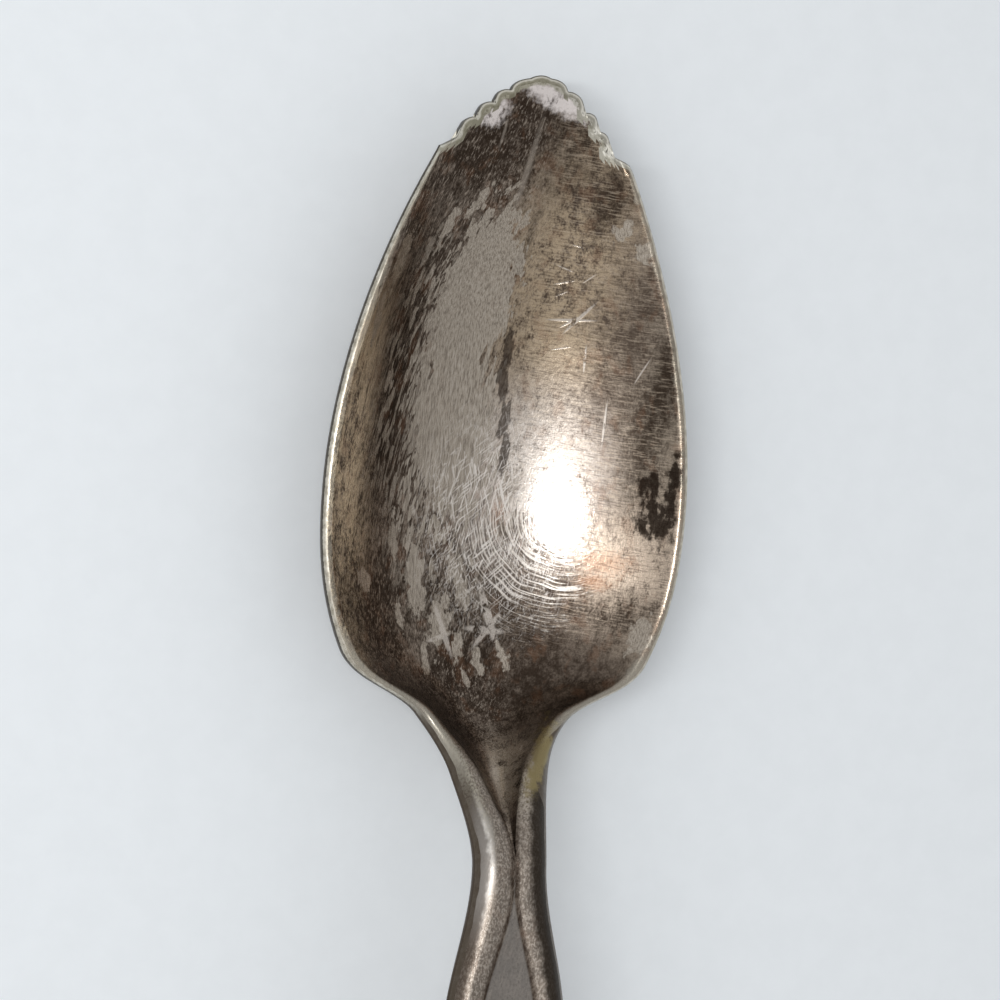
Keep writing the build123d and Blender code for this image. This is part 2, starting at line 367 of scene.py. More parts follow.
    def section(
        self, x: np.ndarray, station: np.ndarray, side: np.ndarray,
    ) -> tuple[np.ndarray, np.ndarray]:
        """Heights of the face and of the back.

        Args:
            x: Distances from the centre line, signed.
            station: Stations of the points themselves.
            side: Stations at which each point's row meets the side, which set the strand that it lies on.

        Returns:
            Heights of the face and of the back.
        """
        reach = np.abs(x)
        edge = self.half_width(side)
        groove = np.maximum(edge - self.strand(side), self.closed_groove)
        crest_x = groove + self.strand_crest_share * (edge - groove)
        crest_z = self.crest(station)
        here = np.maximum(self.half_width(station), self.least_half_width)
        outer = np.minimum(reach / np.maximum(here - self.strand(station), self.closed_groove), 1.0)
        eased = np.minimum(reach / self.eased_groove(station), 1.0)
        across = eased + (outer - eased) * outer ** self.heel_blend_power
        dip = self.hollow(station) * (1 - across ** self.section_power)
        rise = np.clip((reach - groove) / (crest_x - groove), 0.0, 1.0)
        fall = np.clip((reach - crest_x) / (edge - crest_x), 0.0, 1.0)
        face = crest_z - self.crease(side) * (1 - rise) ** 2 - self.round(side) * fall ** 2
        face = face - np.where(reach < groove, dip, 0.0)
        keel = crest_z - self.crease(station) - self.hollow(station) - self.wall(station)
        under = crest_z - self.edge(station) - keel
        back = keel + under * np.minimum(reach / here, 1.0) ** self.back_power
        return face, np.maximum(back, 0.0)


@dataclass(frozen=True)
class ToothRow:
    """The teeth on one side of the tip, in millimetres along its crest line.

    The row starts at a notch where the middle lobe ends. A spread below 1 crowds its valleys to the shoulder.
    """

    hand: Hand
    lobe: float
    notch: float
    pitch: float
    spread: float
    depth: float


@dataclass
class Teeth:
    """The teeth cut along the tip, worn on the left and nearly gone in the middle, in millimetres."""

    left: ToothRow = ToothRow(Hand.LEFT, lobe=2.85, notch=0.45, pitch=1.45, spread=1.0, depth=0.6)
    right: ToothRow = ToothRow(Hand.RIGHT, lobe=2.45, notch=0.45, pitch=1.4, spread=0.76, depth=0.86)
    per_side: int = 3
    middle_count: int = 3
    middle_depth: float = 0.12
    corner_power: float = 1.7
    reach_in: float = 1.6
    bevel_depth: float = 0.32
    bevel_width: float = 1.15
    bevel_power: float = 1.4

    def valleys(self) -> list[tuple[float, float]]:
        """Places of the valleys along the tip's crest line, from left to right, and how deep each one is cut.

        Returns:
            Pairs of place and depth.
        """
        found = []
        for row in (self.left, self.right):
            found.append((row.hand.value * row.lobe, row.notch))
            for tooth in range(1, self.per_side + 1):
                run = self.per_side * row.pitch * (tooth / self.per_side) ** row.spread
                found.append((row.hand.value * (row.lobe + run), row.depth))
        for tooth in range(1, self.middle_count):
            place = (self.left.lobe + self.right.lobe) * tooth / self.middle_count - self.left.lobe
            found.append((place, self.middle_depth))
        return sorted(found)

    def outline(self, x: np.ndarray, form: SpoonForm) -> tuple[np.ndarray, np.ndarray]:
        """Outline of the tip with its teeth.

        Args:
            x: Places along the crest line, signed.
            form: Sizes of the spoon.

        Returns:
            Places across the spoon and stations of the outline.
        """
        valleys = self.valleys()
        depth = np.zeros_like(x)
        for (start, start_depth), (end, end_depth) in zip(valleys, valleys[1:]):
            share = np.clip((x - start) / (end - start), 0.0, 1.0)
            bulge = (1 - np.abs(2 * share - 1) ** self.corner_power) ** (1 / self.corner_power)
            chord = start_depth + (end_depth - start_depth) * share
            depth = np.where((x >= start) & (x <= end), chord * (1 - bulge), depth)
        out_x, out_station = form.tip_line(x, depth)
        half = form.shoulder_width / 2
        for valley, shoulder in ((valleys[0], -half), (valleys[-1], half)):
            foot = form.tip_line(np.array([valley[0]]), np.array([valley[1]]))
            share = (x - valley[0]) / (shoulder - valley[0])
            past = share > 0
            out_x = np.where(past, foot[0] + (shoulder - foot[0]) * share, out_x)
            out_station = np.where(past, foot[1] + (form.tip_length - foot[1]) * share, out_station)
        return out_x, out_station


@dataclass(frozen=True)
class Mark:
    """An oval mark on the spoon, in millimetres, with its turn in degrees."""

    x: float
    station: float
    half_width: float
    half_length: float
    turn: float = 0.0


@dataclass(frozen=True)
class Zone:
    """Marks that share one look, with the pattern that breaks their edges and how soft and ragged these are.

    Softness and raggedness are shares of a mark's size.
    """

    name: str
    rag: Rag
    soft: float
    ragged: float
    marks: tuple[Mark, ...]

    def away(self, points: np.ndarray) -> np.ndarray:
        """Distance from the nearest mark, 1 at its edge.

        Args:
            points: Points in millimetres, one row each.

        Returns:
            One distance for each point.
        """
        nearest = np.full(len(points), FAR)
        for mark in self.marks:
            turn = math.radians(mark.turn)
            right, ahead = points[:, 0] - mark.x, points[:, 1] - SPOON_MIDDLE + mark.station
            aside = math.cos(turn) * right + math.sin(turn) * ahead
            along = math.cos(turn) * ahead - math.sin(turn) * right
            nearest = np.minimum(nearest, np.hypot(aside / mark.half_width, along / mark.half_length))
        return nearest


@dataclass(frozen=True)
class Stroke:
    """A scratch between two places on the face, in millimetres."""

    x_start: float
    station_start: float
    x_end: float
    station_end: float
    width: float


def surface_mesh(
    name: str, points: np.ndarray, quads: np.ndarray, fields: dict[str, np.ndarray],
) -> bpy.types.Object:
    """Make a smooth closed mesh from points in millimetres.

    Args:
        name: Name of the piece.
        points: Points, one row each.
        quads: Corner indices, one row per face.
        fields: Named values per point, kept for the finishes to read.

    Returns:
        The new object, linked to the scene.
    """
    used, corners = np.unique(quads, return_inverse=True)
    mesh = bpy.data.meshes.new(name)
    mesh.from_pydata((points[used] * MM).tolist(), [], corners.reshape(-1, 4).tolist())
    for label, values in fields.items():
        attribute = mesh.attributes.new(label, "FLOAT", "POINT")
        attribute.data.foreach_set("value", values[used].astype(np.float32))
    mesh.shade_smooth()
    mesh.set_sharp_from_angle(angle=math.radians(SHARP_ANGLE))
    piece = bpy.data.objects.new(name, mesh)
    bpy.context.scene.collection.objects.link(piece)
    log.info("%s: %d points, %d faces", name, len(used), len(quads))
    return piece


@dataclass
class StruckSpoon:
    """The whole spoon, in millimetres: a struck blank and the silver deposit left on its face and its back.

    All three pieces share one grid of rows across the spoon and columns along it, so the deposits lie flush.
    """

    form: SpoonForm = field(default_factory=SpoonForm)
    teeth: Teeth = field(default_factory=Teeth)
    plate_thickness: float = 0.1
    least_edge: float = 0.25
    bare_rim: float = 0.26
    bare_tip: float = 0.42
    rim_wander: float = 0.06
    # Waves of the worn seam: radians per millimetre, weight, and shift in radians, turned over on the left
    wander_waves: tuple[tuple[float, float, int], ...] = ((0.83, 1.0, 1), (2.1, 0.7, -2), (4.7, 0.5, 1))
    seam_share: float = 0.15
    patch_station: float = 56.2
    patch_length: float = 2.6
    patch_reach: float = 1.2
    # Places worn through on the back: station, half width and half length
    wear_windows: tuple[tuple[float, float, float], ...] = ((34.65, 3.0, 6.0), (146.0, 4.5, 5.0))
    tip_bow_length: float = 26.0
    end_bow_length: float = 19.0
    end_fall_length: float = 3.0
    end_fall: float = 0.3
    tip_reach: float = 14.0
    # Rows of the grid: the first few behind the teeth, then their spacing along each stretch
    tip_rows: tuple[float, ...] = (0.0, 0.07, 0.16, 0.27, 0.4, 0.52, 0.65)
    tip_rows_length: float = 0.8
    bowl_spacing: float = 0.42
    neck_spacing: float = 0.28
    shank_spacing: float = 0.5
    handle_spacing: float = 0.9
    end_spacing: float = 0.45
    last_spacing: float = 0.3
    heel_margin: float = 2.0
    crossing_margin: float = 1.0
    hollow_columns: int = 72
    border_columns: int = 8
    wall_rings: int = 5
    wall_bulge: float = 0.12
    tooth_bulge: float = 0.02
    wall_power: float = 0.7

    def rows(self) -> np.ndarray:
        """Stations of the rows where they meet the sides.

        Returns:
            Stations from the shoulder to the corner of the handle's end.
        """
        form = self.form
        self.end_corner = form.broad + form.handle_end_length * math.sin(math.pi / 4)
        bowl_start = form.shoulder + self.tip_rows_length
        bowl_end = form.heel - self.heel_margin
        neck_end = form.crossing_end + self.crossing_margin
        last = self.end_corner - 2 * self.last_spacing
        spans = (
            (bowl_start, bowl_end, self.bowl_spacing), (bowl_end, neck_end, self.neck_spacing),
            (neck_end, form.handle_start, self.shank_spacing),
            (form.handle_start, form.broad, self.handle_spacing), (form.broad, last, self.end_spacing),
        )
        stations = [form.shoulder + np.array(self.tip_rows)]
        for start, end, step in spans:
            count = max(math.ceil((end - start) / step), 2)
            stations.append(np.linspace(start, end, count, endpoint=False))
        stations.append(np.array([last, last + self.last_spacing, self.end_corner]))
        return np.concatenate(stations)

    def seam_inset(self, side: np.ndarray, hand: Hand) -> np.ndarray:
        """How far in from the edge the deposit has worn away.

        Args:
            side: Stations along the side.
            hand: Which side it is.

        Returns:
            Distances from the edge.
        """
        wander = np.zeros_like(side)
        for wave, weight, shift in self.wander_waves:
            wander = wander + weight * np.sin(side * wave + shift * hand.value)
        inset = self.bare_rim + self.rim_wander * wander / 2
        if hand is Hand.RIGHT:
            along = (side - self.patch_station) / self.patch_length
            inset = inset + self.patch_reach * np.exp(-(along ** 4))
        return inset

    def lay_out(self) -> None:
        """Set out the grid and the points of the face and of the back."""
        form, teeth = self.form, self.teeth
        rows = self.rows()
        edge = form.half_width(rows)
        groove = np.maximum(edge - form.strand(rows), form.closed_groove)
        x = self.columns(rows, edge, groove)
        share = np.abs(x) / edge[:, None]
        bow = form.tip_length * (1 - smooth_step((rows - form.shoulder) / self.tip_bow_length))
        swell = smooth_step((rows - (self.end_corner - self.end_bow_length)) / self.end_bow_length)
        corner = math.sqrt(0.5)
        cap = form.handle_end_length * (np.sqrt(1 - (share * corner) ** 2) - corner)
        inset = (rows - form.shoulder)[:, None]
        tip_x = np.sign(x) * np.minimum(share, 1.0) * form.shoulder_width / 2
        crest_x, crest_station = form.tip_line(tip_x, np.zeros_like(x))
        tooth_x, tooth_station = teeth.outline(tip_x, form)
        fade = np.clip(1 - inset / teeth.reach_in, 0.0, 1.0)
        station = rows[:, None] - bow[:, None] * (1 - crest_station / form.tip_length) + swell[:, None] * cap
        move_x, move_station = fade * (tooth_x - crest_x), fade * (tooth_station - crest_station)
        self.side = np.broadcast_to(rows[:, None], x.shape)
        face, back = form.section(x, station, self.side)
        bevel = np.clip(1 - inset / teeth.bevel_width, 0.0, 1.0) ** teeth.bevel_power
        face = face - teeth.bevel_depth * bevel
        near_end = np.clip(1 - (form.length - station) / self.end_fall_length, 0.0, 1.0)
        face = face - self.end_fall * near_end ** 2
        self.face = self.points(x + move_x, station + move_station, face)
        self.back = self.points(x + move_x, station + move_station, np.minimum(back, face - self.least_edge))
        self.edge_gap = np.minimum(edge[:, None] - np.abs(x), np.broadcast_to(inset, x.shape))
        self.crease_gap = np.abs(x) - groove[:, None]
        near = station < self.tip_reach
        self.tooth_gap = self.gap_to(self.face[0], near)
        self.tip_gap = self.gap_to(self.points(crest_x[0], crest_station[0], face[0]), near)

    def columns(self, rows: np.ndarray, edge: np.ndarray, groove: np.ndarray) -> np.ndarray:
        """Places of the grid's columns across the spoon.

        Args:
            rows: Stations of the rows.
            edge: Half of the width at each row.
            groove: Half of the hollow's width at each row.

        Returns:
            Distances from the centre line, signed, one line for each row.
        """
        inner = np.linspace(0.0, 1.0, self.hollow_columns + 1)
        border = np.linspace(0.0, 1.0, self.border_columns + 1)[1:]
        halves = []
        for hand in Hand:
            seam = np.maximum(edge - self.seam_inset(rows, hand), groove + self.seam_share * (edge - groove))
            hollow = groove[:, None] * inner
            shoulder = groove[:, None] + (seam - groove)[:, None] * border
            outside = seam[:, None] + (edge - seam)[:, None] * border
            halves.append(hand.value * np.hstack([hollow, shoulder, outside]))
        return np.hstack([halves[0][:, :0:-1], halves[1]])

    def gap_to(self, line: np.ndarray, near: np.ndarray) -> np.ndarray:
        """Distances in plan from a line to the face's points.

        Args:
            line: Points of the line.
            near: True for each point of the face that may lie near it.

        Returns:
            One distance for each point, and a large one for those that aren't near.
        """
        gap = np.full(near.shape, FAR)
        apart = self.face[near][:, None, :2] - line[None, :, :2]
        gap[near] = np.hypot(apart[..., 0], apart[..., 1]).min(axis=1)
        return gap

    def points(self, x: np.ndarray, station: np.ndarray, z: np.ndarray) -> np.ndarray:
        """Stack plan places and heights into points of the frame, in millimetres."""
        return np.stack([x, self.form.length / 2 - station, z], axis=-1)

    def plated(self, skin: Skin) -> np.ndarray:
        """Mark the cells of the grid where a deposit is left.

        Args:
            skin: Which deposit. The back's has worn through where the spoon rests on a table.

        Returns:
            True for each plated cell.
        """
        row_count, column_count = self.side.shape
        cells = np.zeros((row_count - 1, column_count - 1), bool)
        cells[1:-1, self.border_columns:column_count - 1 - self.border_columns] = True
        gap = self.tooth_gap
        corners = [gap[:-1, :-1], gap[1:, :-1], gap[1:, 1:], gap[:-1, 1:]]
        cells &= np.minimum.reduce(corners) > self.bare_tip
        if skin is Skin.BACK:
            middle = (self.back[:-1, :-1] + self.back[1:, 1:]) / 2
            station = self.form.length / 2 - middle[..., 1]
            for centre, half_width, half_length in self.wear_windows:
                cells &= np.hypot(middle[..., 0] / half_width, (station - centre) / half_length) > 1
        return cells

    @staticmethod
    def seam_edges(cells: np.ndarray) -> list[tuple[int, int, int, int]]:
        """Grid edges round the marked cells, with the marked cell on the left of each."""
        padded = np.pad(cells, 1)
        edges = []
        for r, c in np.argwhere(cells):
            if not padded[r, c + 1]:
                edges.append((r, c, r, c + 1))
            if not padded[r + 2, c + 1]:
                edges.append((r + 1, c + 1, r + 1, c))
            if not padded[r + 1, c]:
                edges.append((r + 1, c, r, c))
            if not padded[r + 1, c + 2]:
                edges.append((r, c + 1, r + 1, c + 1))
        return edges

    def build(self, zones: list[Zone]) -> dict[str, bpy.types.Object]:
        """Make the blank and its two deposits.

        Args:
            zones: Marks of wear and of painted light, kept on the meshes for the finishes to read.

        Returns:
            The pieces by the name of the CAD node that each one replaces.
        """
        self.lay_out()
        row_count, column_count = self.side.shape
        count = row_count * column_count
        index = np.arange(count).reshape(row_count, column_count)
        step = np.array([0.0, 0.0, self.plate_thickness])
        layers = [self.face, self.face - step, self.back, self.back + step]
        quads = np.stack([index[:-1, :-1], index[1:, :-1], index[1:, 1:], index[:-1, 1:]], axis=-1)
        loop = np.concatenate([index[0, :-1], index[:-1, -1], index[-1, :0:-1], index[:0:-1, 0]])
        rings, ring_quads = self.edge_rings(loop, len(layers) * count, 2 * count)
        points = np.vstack([layer.reshape(-1, 3) for layer in layers] + [rings])
        crease_gap = self.crease_gap.ravel()
        ring_crease = np.tile(crease_gap[loop], self.wall_rings)
        fields = {"crease_mm": np.concatenate([np.tile(crease_gap, len(layers)), ring_crease])}
        gaps = {"edge_mm": self.edge_gap, "tip_mm": self.tip_gap, "tooth_mm": self.tooth_gap}
        for label, gap in gaps.items():
            fields[label] = np.concatenate([np.tile(gap.ravel(), len(layers)), np.zeros(len(rings))])
        fields["under"] = np.concatenate([np.zeros(2 * count), np.ones(2 * count), np.full(len(rings), 0.5)])
        fields.update({zone.name: zone.away(points) for zone in zones})
        blank_faces = [ring_quads]
        pieces = {}
        for skin, name, layer in ((Skin.FACE, "face_silver", 0), (Skin.BACK, "back_silver", 2)):
            mask = self.plated(skin)
            outer, inner = layer * count, (layer + 1) * count
            top, bed, bare = quads[mask] + outer, quads[mask] + inner, quads[~mask] + outer
            walls = [(index[a, b], index[c, d]) for a, b, c, d in self.seam_edges(mask)]
            wall = np.array([(p + outer, q + outer, q + inner, p + inner) for p, q in walls])
            # The corners run the other way round where the skin looks down
            turn = 1 if skin is Skin.FACE else -1
            deposit = [top[:, ::turn], bed[:, ::-turn], wall[:, ::turn]]
            blank_faces += [bare[:, ::turn], bed[:, ::turn], wall[:, ::-turn]]
            pieces[skin.value] = surface_mesh(name, points, np.vstack(deposit), fields)
        pieces["blank"] = surface_mesh("spoon_blank", points, np.vstack(blank_faces), fields)
        return pieces

    def edge_rings(self, loop: np.ndarray, first: int, back_first: int) -> tuple[np.ndarray, np.ndarray]:
        """Round the edge between the face and the back.

        Args:
            loop: Grid indices round the outline.
            first: Index that the first new point gets.
            back_first: Index of the back's first point.

        Returns:
            The new points, and the faces that join them to the face and to the back.
        """
        top = self.face.reshape(-1, 3)[loop]
        low = self.back.reshape(-1, 3)[loop]
        run = np.roll(top, -1, axis=0) - np.roll(top, 1, axis=0)
        out = np.stack([-run[:, 1], run[:, 0], np.zeros(len(run))], axis=-1)
        out /= np.linalg.norm(out, axis=1, keepdims=True)
        out *= np.where(self.tooth_gap.ravel()[loop] > 0, self.wall_bulge, self.tooth_bulge)[:, None]
        rings, levels = [], [loop]
        for ring in range(self.wall_rings):
            share = (ring + 1) / (self.wall_rings + 1)
            rings.append(top + (low - top) * share + out * math.sin(math.pi * share) ** self.wall_power)
            levels.append(first + ring * len(loop) + np.arange(len(loop)))
        levels.append(loop + back_first)
        faces = []
        for upper, lower in zip(levels, levels[1:]):
            faces.append(np.stack([upper, np.roll(upper, -1), np.roll(lower, -1), lower], axis=-1))
        return np.vstack(rings), np.vstack(faces)


Socket = bpy.types.NodeSocket
Part = Socket | Zone | tuple[Socket, float, float]


class Finish:
    """A material built from nodes, its patterns set out in millimetres of the frame."""

    def __init__(self, name: str) -> None:
        """Start an empty material.

        Args:
            name: Name of the material, after what it is and how its surface was made.
        """
        self.material = bpy.data.materials.new(name)
        self.material.use_nodes = True
        self.tree = self.material.node_tree
        self.tree.nodes.clear()
        local = self.add("ShaderNodeTexCoord", {}, "Object")
        self.place = self.add("ShaderNodeMapping", {"Vector": local, "Scale": (1 / MM, 1 / MM, 1 / MM)})

    def add(self, kind: str, inputs: dict, output: int | str = 0, **settings: object) -> Socket | None:
        """Add a node with its settings and links.

        Args:
            kind: Type of the node.
            inputs: Sockets to link or values to set, by input name or index.
            output: Which output to hand back.
            settings: Properties of the node.

        Returns:
            The chosen output socket, or None for a node without outputs.
        """
        node = self.tree.nodes.new(kind)
        for label, value in settings.items():
            setattr(node, label, value)
        for label, value in inputs.items():
            if isinstance(value, Socket):
                self.tree.links.new(value, node.inputs[label])
            else:
                node.inputs[label].default_value = value
        return node.outputs[output] if node.outputs else None

    def grain(
        self, width: float, length: float, detail: float, turn: float = 0.0, shift: float = 0.0,
    ) -> Socket:
        """Cloudy pattern with grains of a real size.

        Args:
            width: Size of a grain across the spoon, in millimetres.
            length: Size of a grain along the spoon, in millimetres.
            detail: Octaves of finer grain.
            turn: Turn of the grains in degrees.
            shift: Slides the pattern, so that two of them don't match.

        Returns:
            Values from about 0.3 to 0.7.
        """
        spaced = self.add("ShaderNodeMapping", {
            "Vector": self.place, "Location": (shift, shift, shift),
            "Rotation": (0.0, 0.0, math.radians(turn)), "Scale": (width, length, width)},
            vector_type="TEXTURE")
        return self.add("ShaderNodeTexNoise", {
            "Vector": spaced, "Scale": 1.0, "Detail": detail, "Roughness": 0.6})

    def cover(self, *parts: Part, strength: float = 1.0) -> Socket:
        """Mask of the places where every part holds.

        Args:
            parts: Masks, or a pattern with the values where it starts to count and where it counts in full.
            strength: Value of the mask where all of them hold in full.

        Returns:
            The mask.
        """
        total = strength
        for part in parts:
            if isinstance(part, tuple):
                pattern, start, full = part
                part = self.add(
                    "ShaderNodeMapRange", {0: pattern, 1: start, 2: full}, interpolation_type="SMOOTHSTEP")
            total = self.add("ShaderNodeMath", {0: part, 1: total}, operation="MULTIPLY")
        return total

    def join(self, *masks: Socket) -> Socket:
        """Mask of the places where any of several masks holds."""
        total = masks[0]
        for mask in masks[1:]:
            total = self.add("ShaderNodeMath", {0: total, 1: mask}, operation="MAXIMUM")
        return total

    def weigh(self, start: Socket | float, *parts: tuple[Socket, float]) -> Socket:
        """Add patterns up, each by its weight."""
        for pattern, weight in parts:
            start = self.add("ShaderNodeMath", {0: pattern, 1: weight, 2: start}, operation="MULTIPLY_ADD")
        return start

    def paint(self, base: Socket | str, *coats: tuple[str, float, *tuple[Part, ...]]) -> Socket:
        """Lay coats of colour over each other.

        Args:
            base: Colour underneath.
            coats: Colour and strength of each coat from the lowest up, then the parts that say where it lies.

        Returns:
            The colour that shows.
        """
        below = linear(base) if isinstance(base, str) else base
        for colour, strength, *parts in coats:
            mask = self.cover(*parts, strength=strength)
            below = self.add("ShaderNodeMix", {0: mask, 6: below, 7: linear(colour)}, 2, data_type="RGBA")
        return below


class WornMetal(Finish):
    """Bare metal of the spoon, with zones of wear and of painted light and scratches at their places on it.
    """

    rags: dict[Rag, Socket]

    def __init__(self, name: str) -> None:
        """Start an empty material that knows its places on the spoon.

        Args:
            name: Name of the material.
        """
        super().__init__(name)
        self.across = self.add("ShaderNodeSeparateXYZ", {0: self.place}, "X")
        ahead = self.add("ShaderNodeSeparateXYZ", {0: self.place}, "Y")
        self.station = self.weigh(SPOON_MIDDLE, (ahead, -1.0))

    def cover(self, *parts: Part, strength: float = 1.0) -> Socket:
        """Mask of the places where every part holds, with zones of wear and of painted light among the parts.
        """
        masks = (self.zone(part) if isinstance(part, Zone) else part for part in parts)
        return super().cover(*masks, strength=strength)

    def zone(self, zone: Zone) -> Socket:
        """Mask of a zone of wear or of painted light with a ragged edge, whose distances the mesh holds.

        Args:
            zone: The zone.

        Returns:
            1 inside the zone and 0 outside.
        """
        away = self.add("ShaderNodeAttribute", {}, "Fac", attribute_name=zone.name)
        middle = 1 + 2 * zone.ragged
        torn = self.weigh(away, (self.rags[zone.rag], 4 * zone.ragged))
        return self.cover((torn, middle + zone.soft, middle - zone.soft))

    @classmethod
    def zones(cls) -> list[Zone]:
        """Zones of wear and of painted light that the finish reads from the mesh."""
        return [value for value in vars(cls).values() if isinstance(value, Zone)]

    def strokes(self, break_up: Socket, *strokes: Stroke) -> Socket:
        """Mask of thin scratches, broken up along their length.

        Args:
            break_up: Pattern that interrupts them.
            strokes: The scratches.

        Returns:
            1 in a scratch and 0 outside.
        """
        masks = []
        for stroke in strokes:
            run_x = stroke.x_end - stroke.x_start
            run_y = stroke.station_start - stroke.station_end
            centre = ((stroke.x_start + stroke.x_end) / 2,
                      SPOON_MIDDLE - (stroke.station_start + stroke.station_end) / 2, 0.0)
            centred = self.add("ShaderNodeMapping", {
                "Vector": self.place, "Location": centre, "Rotation": (0.0, 0.0, math.atan2(run_y, run_x)),
                "Scale": (math.hypot(run_x, run_y) / 2, stroke.width / 2, FLAT)}, vector_type="TEXTURE")
            away = self.add("ShaderNodeVectorMath", {0: centred}, "Value", operation="LENGTH")
            masks.append(self.cover((away, 1.0, 0.55)))
        return self.cover(self.join(*masks), (break_up, 0.36, 0.46))

    def metal(self, colour: Socket, roughness: Socket, relief: Socket, depth: float) -> None:
        """Close the material as bare metal.

        Args:
            colour: Colour that the metal reflects.
            roughness: How much it blurs reflections.
            relief: Fine relief in the surface.
            depth: Height of that relief, in millimetres.
        """
        bent = self.add("ShaderNodeBump", {
            "Height": relief, "Distance": depth * MM, "Strength": 1.0}, "Normal")
        shader = self.add("ShaderNodeBsdfPrincipled", {
            "Base Color": colour, "Metallic": 1.0, "Roughness": roughness, "Normal": bent})
        self.add("ShaderNodeOutputMaterial", {"Surface": shader})


class TarnishedSilver(WornMetal):
    """Electroplated silver, once bright, browned by sulphide tarnish and scoured for years.

    The eye sees a dull brown mirror: mottled, with reddish specks and fine scouring lines along the spoon.
    """

    def __init__(self, name: str) -> None:
        """Set out the patterns that both sides share.

        Args:
            name: Name of the material.
        """
        super().__init__(name)
        # Real scouring lines are a few hundredths wide; these are drawn several times coarser, to show
        self.cloud = self.grain(7.0, 10.0, 2.0)
        self.mottle = self.grain(0.8, 1.2, 4.0, shift=3.0)
        self.fine = self.grain(0.15, 0.26, 2.0, -8.0, 11.0)
        self.brushing = self.grain(0.1, 8.0, 2.0, 1.0, 7.0)
        self.slant = self.grain(0.14, 2.2, 3.0, -13.0, 13.0)
        self.flake = self.grain(0.55, 2.6, 2.0, -15.0, 5.0)
        self.speck = self.grain(0.4, 0.5, 3.0, shift=15.0)
        self.rags = {
            Rag.SPECK: self.speck, Rag.MOTTLE: self.mottle, Rag.FINE: self.fine, Rag.FLAKE: self.flake,
        }
        # Polish too fine to see by itself: half of it burnished, half of it matt
        self.burnish = self.cover((self.grain(0.03, 0.03, 0.0, shift=17.0), 0.54, 0.46), strength=0.24)
        self.edge, self.tip, self.crease = (
            self.add("ShaderNodeAttribute", {}, "Fac", attribute_name=label)
            for label in ("edge_mm", "tip_mm", "crease_mm"))
        self.tone = self.weigh(0.0, (self.cloud, 0.3), (self.mottle, 0.4), (self.fine, 0.3))
        self.stem = self.cover((self.station, 51.5, 56.5))

    def scoured(self, colour: Socket, side: Socket) -> Socket:
        """Lay reddish clouds and scouring lines over a colour, the lines where a mask lets them show."""
        return self.paint(
            colour,
            ("#86634c", 0.28, (self.grain(1.5, 2.2, 3.0, shift=19.0), 0.52, 0.68)),
            ("#b5a99c", 0.6, side, (self.slant, 0.54, 0.66)),
            ("#332a23", 0.75, side, (self.slant, 0.47, 0.37)),
        )


